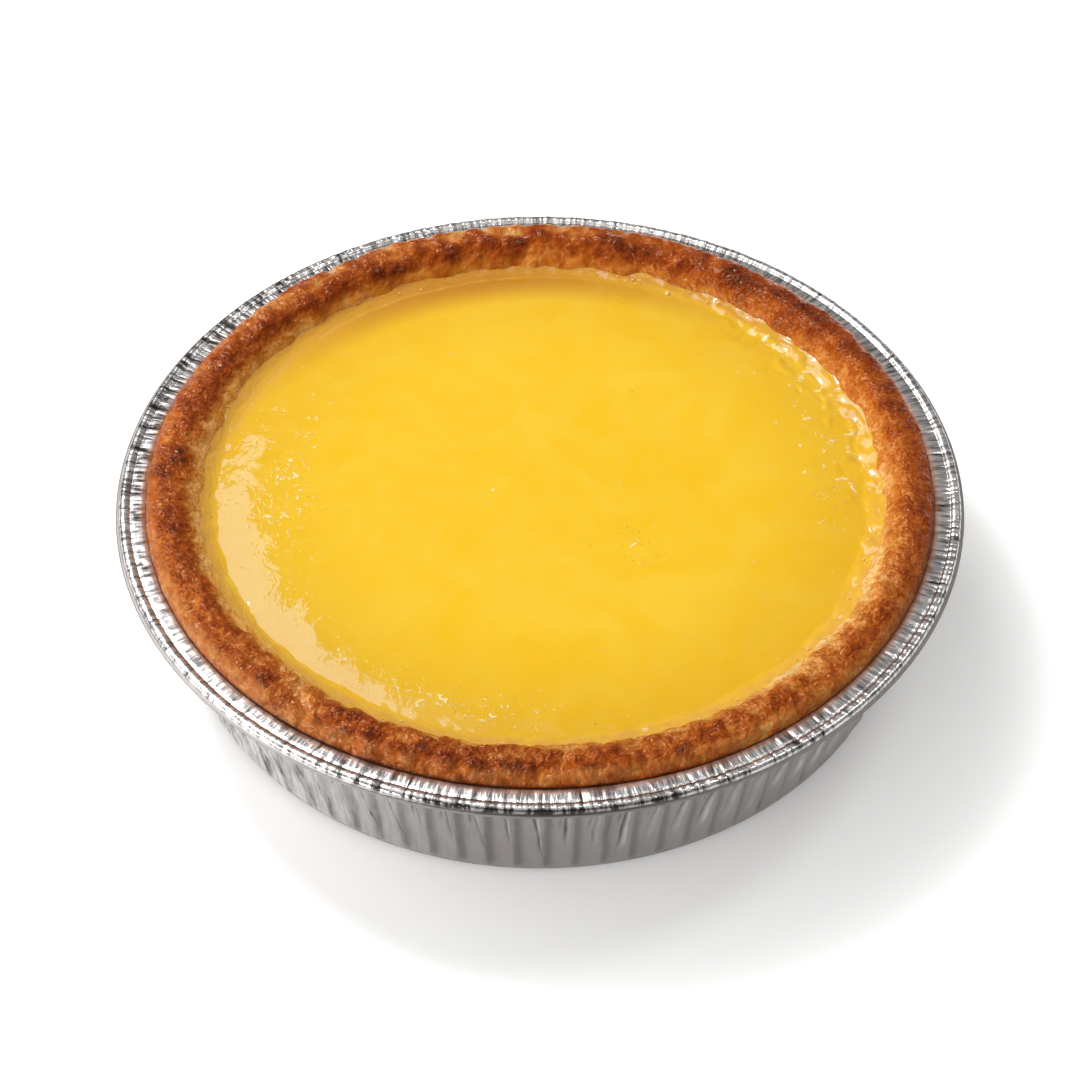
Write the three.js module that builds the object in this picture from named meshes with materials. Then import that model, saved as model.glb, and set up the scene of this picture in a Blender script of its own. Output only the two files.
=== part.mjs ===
// A lemon tart in the pleated foil dish it was baked in, in millimetres.
// +Z is up, and the origin is the centre of the dish's flat base, which is z = 0.
// Three solids sit inside each other: the foil dish, the pastry case and the lemon filling.
// Each is a profile turned about Z, and then bent by waves that run round the tart.

import * as THREE from 'three';
import { mergeVertices } from 'three/addons/utils/BufferGeometryUtils.js';

// Driving dimensions of the foil dish.
const RIM_RADIUS = 105; // outside of the rolled edge
const LEDGE_HEIGHT = 40; // top of the flat ledge inside the rolled edge
const BASE_RADIUS = 90.2; // where the wall would meet the base if the corner were sharp
const WALL_TOP_RADIUS = 97.4; // inside of the wall where it turns out into the ledge
const BASE_CORNER = 3.6; // size of the rounded corner between base and wall
const FOIL = 0.4; // thickness of the foil
const BEAD_WIDTH = 3.6; // rolled edge, across the roll
const BEAD_HEIGHT = 2.4; // rolled edge, top to bottom
const BEAD_RISE = 0.6; // how far the roll stands above the ledge
const BEAD_START = 0.55; // where the roll leaves the ledge's underside, in turns round the roll
const BEAD_END = 0.42; // where the roll comes back down to the ledge's top
const PLEATS = 86; // folds round the wall
const PLEAT_DEPTH = 0.35; // how far a fold stands in or out of the mean wall

// Driving dimensions of the pastry case.
const GAP = 0.3; // clearance between touching pieces
const LIP_RADIUS = 97.9; // foot of the crust where it lies on the ledge
const SHOULDER_RADIUS = 96.8; // outer shoulder of the crust
const SHOULDER_RISE = 2.7; // height of the shoulder above the crust's foot
const CROWN_RADIUS = 91.2; // ring along the top of the crust
const CROWN_RISE = 4.8; // height of the crown above the crust's foot
const PASTRY_FLOOR = 5.5; // thickness of the pastry under the filling
const HOLLOW_RADIUS = 82; // inside of the pastry wall near the floor
const FLOOR_CORNER = 6; // rounded corner at the bottom of the hollow

// Driving dimensions of the filling.
const FILL_RADIUS = 84.8; // edge of the filling where it meets the crust
const FILL_HEIGHT = 38.3; // lowest ring of the filling's top, just inside its edge
const TROUGH_RADIUS = 80.6; // radius of that lowest ring
const BANK_RISE = 1.4; // how far the filling climbs the crust outside that ring
const DOME_RISE = 0.6; // how far the middle of the filling stands above that ring

// Unevenness of the crust: each row is [waves round the tart, size, phase].
const CROWN_WAVES = [[2, 0.2, 0.6], [3, 0.15, 2.1], [7, 0.15, 4], [13, 0.1, 1.3]];
const EDGE_WAVES = [[1, 0.5, 1.2], [3, 0.3, 0.4], [8, 0.25, 5.2], [15, 0.15, 2.6]];

const PASTRY_STEPS = 72; // facets round the pastry and the filling
const CURVE_STEPS = 2; // facets along each curve of a profile

const TURN = 2 * Math.PI;

// 0 below the first value, 1 above the second, and a smooth slope between them.
const fade = THREE.MathUtils.smoothstep;

// The sum of a few sine waves at one angle round the tart.
function waves(rows, angle) {
  return rows.reduce((sum, [count, size, phase]) => sum + size * Math.sin(count * angle + phase), 0);
}

// Turns a profile of radius and height about Z. Then bend(radius, height, angle) gives what is
// added to the radius and the height of each point.
function turnedSolid(path, steps, bend) {
  const lathe = new THREE.LatheGeometry(path.getPoints(CURVE_STEPS), steps).rotateX(TURN / 4);
  lathe.deleteAttribute('normal');
  lathe.deleteAttribute('uv');
  const solid = mergeVertices(lathe);
  const position = solid.getAttribute('position');
  for (let i = 0; i < position.count; i += 1) {
    const angle = Math.atan2(position.getY(i), position.getX(i));
    const radius = Math.hypot(position.getX(i), position.getY(i));
    const height = position.getZ(i);
    const [outwards, upwards] = bend(radius, height, angle);
    const reach = radius + outwards;
    position.setXYZ(i, reach * Math.cos(angle), reach * Math.sin(angle), height + upwards);
  }
  solid.computeVertexNormals();
  return solid;
}

// The foil dish: thin foil from the base up the wall and out over the ledge into the rolled edge,
// which is solid. The folds grow out of the base corner and die out before the rolled edge.
function foilDish() {
  const wallSlope = (WALL_TOP_RADIUS - BASE_RADIUS) / LEDGE_HEIGHT;
  const flatRadius = BASE_RADIUS - BASE_CORNER;
  const footRadius = BASE_RADIUS + wallSlope * BASE_CORNER;
  const beadRadius = RIM_RADIUS - BEAD_WIDTH / 2;
  const beadHeight = LEDGE_HEIGHT + BEAD_RISE - BEAD_HEIGHT / 2;
  const grooveRadius = RIM_RADIUS - BEAD_WIDTH;

  const path = new THREE.Path();
  path.moveTo(0, 0);
  path.lineTo(flatRadius, 0);
  path.quadraticCurveTo(BASE_RADIUS, 0, footRadius + FOIL, BASE_CORNER);
  path.lineTo(WALL_TOP_RADIUS + FOIL, LEDGE_HEIGHT - FOIL);
  path.lineTo(grooveRadius, LEDGE_HEIGHT - FOIL);
  path.absellipse(
    beadRadius, beadHeight, BEAD_WIDTH / 2, BEAD_HEIGHT / 2, BEAD_START * TURN, BEAD_END * TURN,
  );
  path.lineTo(grooveRadius, LEDGE_HEIGHT);
  path.lineTo(WALL_TOP_RADIUS, LEDGE_HEIGHT);
  path.lineTo(footRadius, BASE_CORNER + FOIL);
  path.quadraticCurveTo(BASE_RADIUS, FOIL, flatRadius, FOIL);
  path.lineTo(0, FOIL);

  return turnedSolid(path, 2 * PLEATS, (radius, height, angle) => {
    const onWall = fade(radius, flatRadius, footRadius);
    const onLedge = fade(radius, WALL_TOP_RADIUS + FOIL, grooveRadius);
    return [PLEAT_DEPTH * onWall * (1 - onLedge) * Math.cos(PLEATS * angle), 0];
  });
}

// How far the edge between crust and filling wanders from its circle, which dies out downwards,
// towards the middle of the tart and towards the crown of the crust.
function edgeWander(radius, height, angle) {
  const nearTop = fade(height, FILL_HEIGHT / 2, FILL_HEIGHT);
  const nearEdge = fade(radius, TROUGH_RADIUS - BANK_RISE, FILL_RADIUS - GAP);
  const insideCrown = 1 - fade(radius, FILL_RADIUS, CROWN_RADIUS);
  return nearTop * nearEdge * insideCrown * waves(EDGE_WAVES, angle);
}

// The pastry case: its outside follows the dish just inside the folds, its lip lies on the ledge,
// and its browned crust rises from there to an uneven rounded crown.
function pastryCase() {
  const inset = PLEAT_DEPTH + GAP;
  const outsideRadius = BASE_RADIUS - inset;
  const bottom = FOIL + GAP;
  const floor = bottom + PASTRY_FLOOR;
  const foot = LEDGE_HEIGHT + GAP;
  const crown = foot + CROWN_RISE;

  const path = new THREE.Path();
  path.moveTo(0, bottom);
  path.lineTo(outsideRadius - BASE_CORNER, bottom);
  path.quadraticCurveTo(outsideRadius, bottom, outsideRadius, bottom + BASE_CORNER);
  path.lineTo(WALL_TOP_RADIUS - inset, foot);
  path.lineTo(LIP_RADIUS, foot);
  path.lineTo(SHOULDER_RADIUS, foot + SHOULDER_RISE);
  path.quadraticCurveTo((SHOULDER_RADIUS + CROWN_RADIUS) / 2, crown, CROWN_RADIUS, crown);
  path.quadraticCurveTo((CROWN_RADIUS + FILL_RADIUS) / 2, crown, FILL_RADIUS, FILL_HEIGHT + BANK_RISE);
  path.lineTo(HOLLOW_RADIUS, floor + FLOOR_CORNER);
  path.quadraticCurveTo(HOLLOW_RADIUS, floor, HOLLOW_RADIUS - FLOOR_CORNER, floor);
  path.lineTo(0, floor);

  return turnedSolid(path, PASTRY_STEPS, (radius, height, angle) => {
    const onCrown = fade(height, foot, crown);
    return [edgeWander(radius, height, angle), onCrown * waves(CROWN_WAVES, angle)];
  });
}

// The lemon filling: it stands on the pastry floor. Its top is a shallow dome that falls to a
// trough just inside the crust, and outside the trough it climbs the crust.
function lemonFilling() {
  const bottom = FOIL + GAP + PASTRY_FLOOR + GAP;
  const sideRadius = HOLLOW_RADIUS - GAP;
  const edgeRadius = FILL_RADIUS - GAP;
  const middle = FILL_HEIGHT + DOME_RISE;

  const path = new THREE.Path();
  path.moveTo(0, bottom);
  path.lineTo(sideRadius - FLOOR_CORNER, bottom);
  path.quadraticCurveTo(sideRadius, bottom, sideRadius, bottom + FLOOR_CORNER);
  path.lineTo(edgeRadius, FILL_HEIGHT + BANK_RISE);
  path.quadraticCurveTo((edgeRadius + TROUGH_RADIUS) / 2, FILL_HEIGHT, TROUGH_RADIUS, FILL_HEIGHT);
  path.quadraticCurveTo(TROUGH_RADIUS / 2, middle, 0, middle);

  return turnedSolid(path, PASTRY_STEPS, (radius, height, angle) => [
    edgeWander(radius, height, angle),
    0,
  ]);
}

function piece(name, geometry, finish) {
  const mesh = new THREE.Mesh(geometry, new THREE.MeshStandardMaterial(finish));
  mesh.name = name;
  return mesh;
}

const tart = new THREE.Group();
tart.add(piece('foil_dish', foilDish(), { color: 0xc9c7c5, roughness: 0.3, metalness: 1 }));
tart.add(piece('pastry_case', pastryCase(), { color: 0xa4602c, roughness: 0.7, metalness: 0 }));
tart.add(piece('lemon_filling', lemonFilling(), { color: 0xf6c535, roughness: 0.2, metalness: 0 }));

export default tart;
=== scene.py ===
"""A lemon tart in the pleated foil dish it was baked in.

Sizes in the functions are in millimetres, and each mesh is scaled to metres as it is made.
Every piece is a profile of radius and height turned about the upright axis, worked out as rings of
points, and then bent by waves and by smooth random unevenness. Bearings round the tart are in
degrees: 0 is its right side, 90 its back, 180 its left side and -90 its front.
"""

import itertools
import math

import bpy
import numpy as np
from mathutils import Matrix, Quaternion, Vector


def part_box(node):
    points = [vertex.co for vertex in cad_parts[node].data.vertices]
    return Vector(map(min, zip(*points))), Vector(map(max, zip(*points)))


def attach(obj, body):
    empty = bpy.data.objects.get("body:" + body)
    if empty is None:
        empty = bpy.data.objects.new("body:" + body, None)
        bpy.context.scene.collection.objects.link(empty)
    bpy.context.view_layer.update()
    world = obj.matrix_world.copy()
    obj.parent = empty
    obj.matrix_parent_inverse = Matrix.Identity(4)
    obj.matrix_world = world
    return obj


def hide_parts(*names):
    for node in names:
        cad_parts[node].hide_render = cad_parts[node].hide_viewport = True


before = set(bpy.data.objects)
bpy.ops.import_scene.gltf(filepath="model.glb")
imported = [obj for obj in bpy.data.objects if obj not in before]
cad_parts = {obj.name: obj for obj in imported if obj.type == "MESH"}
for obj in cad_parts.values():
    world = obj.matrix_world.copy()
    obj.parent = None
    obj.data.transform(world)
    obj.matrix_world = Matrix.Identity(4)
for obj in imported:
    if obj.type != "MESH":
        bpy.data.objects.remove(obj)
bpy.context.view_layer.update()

MM = 0.001
TURN = 2 * math.pi

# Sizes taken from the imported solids: the high corner of each one's box.
dish_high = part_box("foil_dish")[1] / MM
crust_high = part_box("pastry_case")[1] / MM
curd_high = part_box("lemon_filling")[1] / MM

DISH_RADIUS = dish_high.x
ROLL_TOP = dish_high.z
SHELF = ROLL_TOP - 0.5  # the flat ledge between the wall and the rolled edge
CRUST_FOOT_RADIUS = crust_high.x
CRUST_TOP = crust_high.z
CREST = curd_high.z  # where the curd has climbed the crust


# ---------------------------------------------------------------- unevenness

CELL_KINDS = 256  # how many random values the cells of space share
FULL_SPAN = 1.7  # brings the blended slopes to about -1 to 1


def cell_picks(shuffle, cell):
    """Which shared value each cell of space has, by three steps through the shuffled numbers."""
    pick = shuffle[cell[..., 0] % CELL_KINDS]
    pick = shuffle[(pick + cell[..., 1]) % CELL_KINDS]
    return shuffle[(pick + cell[..., 2]) % CELL_KINDS]


def unevenness(points, size, seed):
    """Smooth random heights, about -1 to 1. Space is cut into cubes of the given size, each corner
    gets a random slope, and the eight slopes of a cube are blended by 6t^5 - 15t^4 + 10t^3."""
    dice = np.random.default_rng(seed)
    shuffle = dice.permutation(CELL_KINDS)
    slopes = dice.normal(size=(CELL_KINDS, 3))
    slopes /= np.linalg.norm(slopes, axis=1)[:, None]
    cell = np.floor(points / size).astype(int)
    inside = points / size - cell
    fade = inside**3 * (inside * (inside * 6 - 15) + 10)
    total = np.zeros(points.shape[:-1])
    for corner in itertools.product((0, 1), repeat=3):
        slope = slopes[cell_picks(shuffle, cell + np.array(corner))]
        rise = ((inside - corner) * slope).sum(-1)
        total += rise * np.where(corner, fade, 1 - fade).prod(-1)
    return total * FULL_SPAN


def grains(points, size, seed):
    """Grains packed together: one seed point is dropped at random in each cube of the given size,
    and the height is 1 at a seed and falls with the square of the distance to the nearest."""
    dice = np.random.default_rng(seed)
    shuffle = dice.permutation(CELL_KINDS)
    drops = dice.random((CELL_KINDS, 3))
    cell = np.floor(points / size).astype(int)
    inside = points / size - cell
    nearest = np.full(points.shape[:-1], np.inf)
    for corner in itertools.product((-1, 0, 1), repeat=3):
        drop = drops[cell_picks(shuffle, cell + np.array(corner))]
        away = ((corner + drop - inside) ** 2).sum(-1)
        nearest = np.minimum(nearest, away)
    return 1 - nearest


def waves(angle, *rows):
    """The sum of sine waves round the tart, each given as (waves in a turn, size, phase)."""
    return sum(size * np.sin(count * angle + phase) for count, size, phase in rows)


def wander(angle, slowest, fastest, seed):
    """A smooth random line round the tart, about -1 to 1: sine waves of every count from the
    slowest to the fastest, each with a random phase and a size of one over the square root."""
    dice = np.random.default_rng(seed)
    counts = np.arange(slowest, fastest + 1)
    sizes = counts**-0.5
    phases = dice.random(len(counts)) * TURN
    total = sum(s * np.sin(c * angle + p) for c, s, p in zip(counts, sizes, phases))
    return total / np.sqrt((sizes**2).sum())


def ease(value, start, end):
    """0 before the start, 1 after the end, and the curve 3t^2 - 2t^3 between them."""
    t = np.clip((value - start) / (end - start), 0, 1)
    return t * t * (3 - 2 * t)


def fall(value, start, end):
    """The mirror of ease: 1 before the start and 0 after the end."""
    return 1 - ease(value, start, end)


def bump_at(value, centre, width):
    """A bell that is 1 at the centre and falls to 0.37 one width away from it."""
    return np.exp(-(((value - centre) / width) ** 2))


def facing(angle, bearing, width):
    """A bell round the tart: 1 at the bearing and 0.37 at width degrees to either side of it."""
    off = (np.degrees(angle) - bearing + 180) % 360 - 180
    return np.exp(-((off / width) ** 2))


def bells(angle, *rows):
    """The sum of bells round the tart, each given as (size, bearing, width)."""
    return sum(size * facing(angle, bearing, width) for size, bearing, width in rows)


def patch(reach, angle, radius, depth, bearing, spread):
    """A soft patch: a bell across the radius times a bell round the tart."""
    return bump_at(reach, radius, depth) * facing(angle, bearing, spread)


# ---------------------------------------------------------------- profiles and meshes


def straight(start, end, steps):
    """Evenly spaced points of (radius, height) on a line, with its start and without its end."""
    t = np.arange(steps)[:, None] / steps
    return np.array(start) * (1 - t) + np.array(end) * t


def bend(start, corner, end, steps):
    """Points on the parabola (1-t)^2 start + 2t(1-t) corner + t^2 end, without its end."""
    t = np.arange(steps)[:, None] / steps
    return (
        (1 - t) ** 2 * np.array(start) + 2 * t * (1 - t) * np.array(corner) + t**2 * np.array(end)
    )


def outward(profile):
    """Unit normals of an open profile: its tangent (dr, dz) turned clockwise to (dz, -dr)."""
    tangent = np.gradient(profile, axis=0)
    tangent /= np.linalg.norm(tangent, axis=1)[:, None]
    return np.stack([tangent[:, 1], -tangent[:, 0]], 1)


def ring_angles(count):
    """Where evenly spaced points lie round a ring, in radians, from the right side on."""
    return np.arange(count) * TURN / count


def triples(first, second, third):
    """Three numbers or arrays laid side by side as one array of triples."""
    return np.stack(np.broadcast_arrays(first, second, third), -1)


def rings(radius, height, angle):
    """Points at radius and height, turned to angle about the upright axis."""
    return triples(radius * np.cos(angle), radius * np.sin(angle), height)


def sparse_rings(count, *rows):
    """Even rings given as (radius, height, share), each with the full count over its share."""
    return [rings(radius, height, ring_angles(count // share)) for radius, height, share in rows]


def pole(height):
    """A ring of one point on the axis, which closes a surface."""
    return np.array([[0.0, 0.0, height]])


def marked(rows, *blocks, elsewhere=0.0):
    """One number for each point of the rings. A block is given as (its first ring, its rings of
    numbers), and all points outside the blocks have one and the same number."""
    numbers = [np.full(len(row), elsewhere) for row in rows]
    for first, block in blocks:
        numbers[first : first + len(block)] = list(block)
    return np.concatenate(numbers)


def stitch(rows):
    """Faces that join rings of points, each running anticlockwise seen from above. Rings of one
    count are joined by squares, a ring with twice the points of its neighbour by three triangles
    to each step, and a ring of one point closes the surface with a fan."""
    faces = []
    first = 0
    for lower, upper in zip(rows, rows[1:]):
        n, m = len(lower), len(upper)
        start = first + n
        few = np.arange(min(n, m) if min(n, m) > 1 else max(n, m))
        a, b = first + few % n, first + (few + 1) % n
        d, c = start + few % m, start + (few + 1) % m
        if n == m:
            faces.append([a, b, c, d])
        elif n == 1:
            faces.append([a, c, d])
        elif m == 1:
            faces.append([a, b, d])
        elif m == 2 * n:
            d, e, c = (start + (2 * few + k) % m for k in range(3))
            faces += [[a, e, d], [a, b, e], [b, c, e]]
        elif n == 2 * m:
            a, e, b = (first + (2 * few + k) % n for k in range(3))
            faces += [[a, e, d], [e, c, d], [e, b, c]]
        else:
            raise ValueError(f"rings of {n} and {m} points can't be joined")
        first = start
    return [corner for block in faces for corner in np.stack(block, 1).tolist()]


def make_piece(name, points, faces, material, marks):
    """One smooth mesh object in metres. The marks give the finish numbers on each point."""
    mesh = bpy.data.meshes.new(name)
    mesh.from_pydata((points * MM).tolist(), [], faces)
    mesh.validate()
    for title, values in marks.items():
        layer = mesh.attributes.new(title, "FLOAT", "POINT")
        layer.data.foreach_set("value", values.astype(np.float32))
    mesh.shade_smooth()
    mesh.materials.append(material)
    piece = bpy.data.objects.new(name, mesh)
    bpy.context.scene.collection.objects.link(piece)
    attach(piece, "root")
    return piece


def turned_piece(name, rows, material, marks):
    """A closed piece from rings of points, listed from the underside's middle outwards, up the
    outside and back in to the middle of the top."""
    return make_piece(name, np.concatenate(rows), stitch(rows), material, marks)


# ---------------------------------------------------------------- finishes

CRIMP_CIRCLE = 0.1  # radius of the circle that the foil's crimps are laid out on, in metres
CRIMP_SHARE = 0.18  # the crimps are drawn out to 1 over this of their width
STRAND_SHARE = 0.14  # and the wall's strands to 1 over this of theirs
PITS_PER_METRE = 420.0  # cells of the curd's fine pits
FOAM_AND_GLINT_STRENGTH = 0.8


def part(tree, kind, inputs=None, **settings):
    """One node of a finish. An input is either a value or the output it is joined to."""
    made = tree.nodes.new(kind)
    for key, value in settings.items():
        setattr(made, key, value)
    for key, value in (inputs or {}).items():
        if isinstance(value, bpy.types.NodeSocket):
            tree.links.new(value, made.inputs[key])
        else:
            made.inputs[key].default_value = value
    return made


def object_place(tree):
    """Where a point lies on the object, in metres."""
    return part(tree, "ShaderNodeTexCoord").outputs["Object"]


def mark(tree, title):
    """The number that the mesh carries on each point under this title."""
    return part(tree, "ShaderNodeAttribute", attribute_name=title).outputs["Fac"]


def number_step(tree, operation, first, second, clamp=False):
    """One step of arithmetic on two numbers or outputs."""
    inputs = {0: first, 1: second}
    return part(tree, "ShaderNodeMath", inputs, operation=operation, use_clamp=clamp).outputs[0]


def plus(tree, first, second, clamp=False):
    return number_step(tree, "ADD", first, second, clamp)


def times(tree, first, second):
    return number_step(tree, "MULTIPLY", first, second)


def vector_step(tree, operation, **inputs):
    """One step of arithmetic on vectors. The inputs are named first, second and Scale."""
    keys = {"first": 0, "second": 1}
    inputs = {keys.get(key, key): value for key, value in inputs.items()}
    made = part(tree, "ShaderNodeVectorMath", inputs, operation=operation)
    return made.outputs["Value" if operation == "LENGTH" else "Vector"]


def noise(tree, where, size, detail=2.0, roughness=0.5, curl=0.0):
    """Cloudy noise whose lumps are about the given size in millimetres. Curl bends them into
    swirls."""
    inputs = {"Scale": 0.5 / (size * MM), "Detail": detail, "Roughness": roughness}
    inputs.update({"Vector": where, "Distortion": curl})
    return part(tree, "ShaderNodeTexNoise", inputs).outputs["Fac"]


def stretch(tree, value, low, high, to_low=0.0, to_high=1.0):
    """The value carried evenly from the span low..high to the span to_low..to_high."""
    inputs = {"Value": value, "From Min": low, "From Max": high, "To Min": to_low, "To Max": to_high}
    return part(tree, "ShaderNodeMapRange", inputs).outputs["Result"]


def linear_light(screen):
    """A screen value of 0 to 255 as an amount of light, by the two-part screen curve."""
    if screen > 10:
        return ((screen / 255 + 0.055) / 1.055) ** 2.4
    return screen / 3295


def shade(red, green, blue):
    """A screen colour of 0 to 255 as the light it stands for."""
    return (linear_light(red), linear_light(green), linear_light(blue), 1.0)


def colours(tree, value, *stops):
    """A run of colours along a value, each stop given as (place, screen colour)."""
    ramp = part(tree, "ShaderNodeValToRGB", {"Fac": value})
    while len(ramp.color_ramp.elements) < len(stops):
        ramp.color_ramp.elements.new(1.0)
    for element, (place, colour) in zip(ramp.color_ramp.elements, stops):
        element.position = place
        element.color = shade(*colour)
    return ramp.outputs["Color"]


def mix_rgb(tree, amount, first, second, mode="MIX"):
    """Two colours mixed; the sockets of the mix node are picked by their colour type."""
    made = tree.nodes.new("ShaderNodeMix")
    made.data_type = "RGBA"
    made.blend_type = mode
    colour_inputs = [s for s in made.inputs if s.type == "RGBA"]
    for socket, value in zip([made.inputs[0], *colour_inputs], (amount, first, second)):
        if isinstance(value, bpy.types.NodeSocket):
            tree.links.new(value, socket)
        else:
            socket.default_value = value
    return next(s for s in made.outputs if s.type == "RGBA")


def new_finish(name, **surface):
    """A material with one principled shader, its even values set on its own sockets."""
    material = bpy.data.materials.new(name)
    material.use_nodes = True
    tree = material.node_tree
    tree.nodes.clear()
    shader = part(tree, "ShaderNodeBsdfPrincipled", surface)
    output = part(tree, "ShaderNodeOutputMaterial")
    tree.links.new(shader.outputs[0], output.inputs["Surface"])
    return material, tree, shader


def raise_surface(tree, shader, height, strength=1.0):
    """Joins a height in metres to the shader as a bump."""
    bump = part(tree, "ShaderNodeBump", {"Height": height, "Strength": strength, "Distance": 1.0})
    tree.links.new(bump.outputs[0], shader.inputs["Normal"])


def foil_finish():
    """Bright aluminium foil: a satin wall with fine upright strands, and a mirror-like rolled edge
    with fine radial crimps. Painted shade darkens the creases, the crimp valleys and other shaded
    places, painted light gives the wall's ridges and left side the mirror tint, and a painted
    reflection of the crust makes the shelf under it brown and less metallic."""
    material, tree, shader = new_finish("aluminium_foil", Metallic=1.0)
    place = object_place(tree)
    apart = part(tree, "ShaderNodeSeparateXYZ", {0: place}).outputs
    mirror_and_painted_light = mark(tree, "mirror_and_painted_light")

    # The crimps' noise is laid out on a circle and drawn out along the radius.
    flat = part(tree, "ShaderNodeCombineXYZ", {"X": apart["X"], "Y": apart["Y"]}).outputs[0]
    reach = vector_step(tree, "LENGTH", first=flat)
    circle = vector_step(tree, "NORMALIZE", first=flat)
    circle = vector_step(tree, "SCALE", first=circle, Scale=CRIMP_CIRCLE)
    across = times(tree, number_step(tree, "SUBTRACT", reach, apart["Z"]), CRIMP_SHARE)
    lift = part(tree, "ShaderNodeCombineXYZ", {"Z": across}).outputs[0]
    crimps = noise(tree, vector_step(tree, "ADD", first=circle, second=lift), 0.6, 2.0, 0.6)
    dents = noise(tree, place, 2.6, 2.0)
    height = times(tree, times(tree, crimps, mirror_and_painted_light), 0.16 * MM)
    height = plus(tree, height, times(tree, dents, 0.08 * MM))

    above_base = stretch(tree, apart["Z"], 10 * MM, 18 * MM)
    below_rim = stretch(tree, apart["Z"], 37.5 * MM, 34 * MM)
    drawn_up = vector_step(tree, "MULTIPLY", first=place, second=(1.0, 1.0, STRAND_SHARE))
    strands = noise(tree, drawn_up, 1.0, 2.0, 0.6)
    wrinkle = times(tree, strands, times(tree, above_base, below_rim))
    height = plus(tree, height, times(tree, wrinkle, 0.55 * MM))
    raise_surface(tree, shader, height, 0.9)
    tree.links.new(stretch(tree, mirror_and_painted_light, 0, 1, 0.5, 0.26), shader.inputs["Roughness"])

    # Painted shade: dark ticks in the crimp valleys, added to the marked painted shade and mixed to a
    # dark grey.
    crimp_shade_ticks = times(tree, stretch(tree, crimps, 0.38, 0.56, 0.6, 0.0), mirror_and_painted_light)
    painted_shade_lines = plus(tree, mark(tree, "painted_shade"), crimp_shade_ticks, clamp=True)
    # Painted reflection of the crust: the shelf under the crust is brown and less metallic.
    painted_crust_reflection = mark(tree, "painted_crust_reflection")
    satin, mirror = shade(164, 159, 157), shade(240, 237, 235)
    painted_shade_grey = shade(62, 57, 55)
    crust_reflection_brown = shade(180, 108, 58)
    # The mirror tint also carries painted light on the wall's ridges and its left side.
    tint = mix_rgb(tree, mirror_and_painted_light, satin, mirror)
    tint = mix_rgb(tree, painted_shade_lines, tint, painted_shade_grey)
    tint = mix_rgb(tree, painted_crust_reflection, tint, crust_reflection_brown)
    grey = stretch(tree, noise(tree, place, 5, 3), 0.3, 0.7, 0.94, 1.04)
    tint = mix_rgb(tree, 1.0, tint, grey, "MULTIPLY")
    tree.links.new(tint, shader.inputs["Base Color"])
    tree.links.new(stretch(tree, painted_crust_reflection, 0, 0.8, 1.0, 0.1), shader.inputs["Metallic"])
    return material


def crust_finish():
    """Baked sweet pastry: pale where it is under-done, red-brown along the crown, doughy low on
    its outside and soaked with syrup where it meets the curd. Painted shade darkens the hollows
    between crumbs, nodules and grains."""
    material, tree, shader = new_finish(
        "browned_crust", **{"Specular IOR Level": 0.3, "Specular Tint": (1.0, 0.72, 0.4, 1)}
    )
    place = object_place(tree)
    grainy = mark(tree, "grainy")
    grain = noise(tree, place, 0.45, 0, 0.5)
    curls = noise(tree, place, 0.9, 0, 0.5, 1.4)
    crumb = times(tree, stretch(tree, curls, 0.3, 0.7, 0.11, -0.11), grainy)
    blotch = stretch(tree, noise(tree, place, 3.5, 3, 0.6), 0.3, 0.7, -0.08, 0.08)
    tone = plus(tree, mark(tree, "browning_and_painted_light"), plus(tree, crumb, blotch), clamp=True)
    colour = colours(
        tree,
        tone,
        (0.0, (240, 200, 134)),
        (0.2, (219, 162, 92)),
        (0.4, (192, 113, 44)),
        (0.6, (160, 73, 10)),
        (0.8, (130, 48, 4)),
        (1.0, (82, 24, 2)),
    )
    # Painted shade in the hollows of the grain and the marked hollows, mixed to a shadow brown.
    grain_hollow_shade = times(tree, stretch(tree, grain, 0.3, 0.5, 0.14, 0.0), grainy)
    shadow = plus(tree, mark(tree, "painted_hollow_shade"), grain_hollow_shade, clamp=True)
    shadow_brown = shade(104, 38, 6)
    raw_dough = shade(184, 124, 66)
    amber_syrup = shade(224, 146, 42)
    colour = mix_rgb(tree, shadow, colour, shadow_brown)
    colour = mix_rgb(tree, mark(tree, "doughy"), colour, raw_dough)
    colour = mix_rgb(tree, mark(tree, "soaked"), colour, amber_syrup)
    tree.links.new(colour, shader.inputs["Base Color"])
    gloss = stretch(tree, noise(tree, place, 0.9, 2), 0.35, 0.65, 0.1, 0.3)
    tree.links.new(gloss, shader.inputs["Roughness"])
    curl_height = times(tree, times(tree, curls, grainy), 0.5 * MM)
    raise_surface(tree, shader, plus(tree, times(tree, grain, 0.07 * MM), curl_height))
    return material


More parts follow.
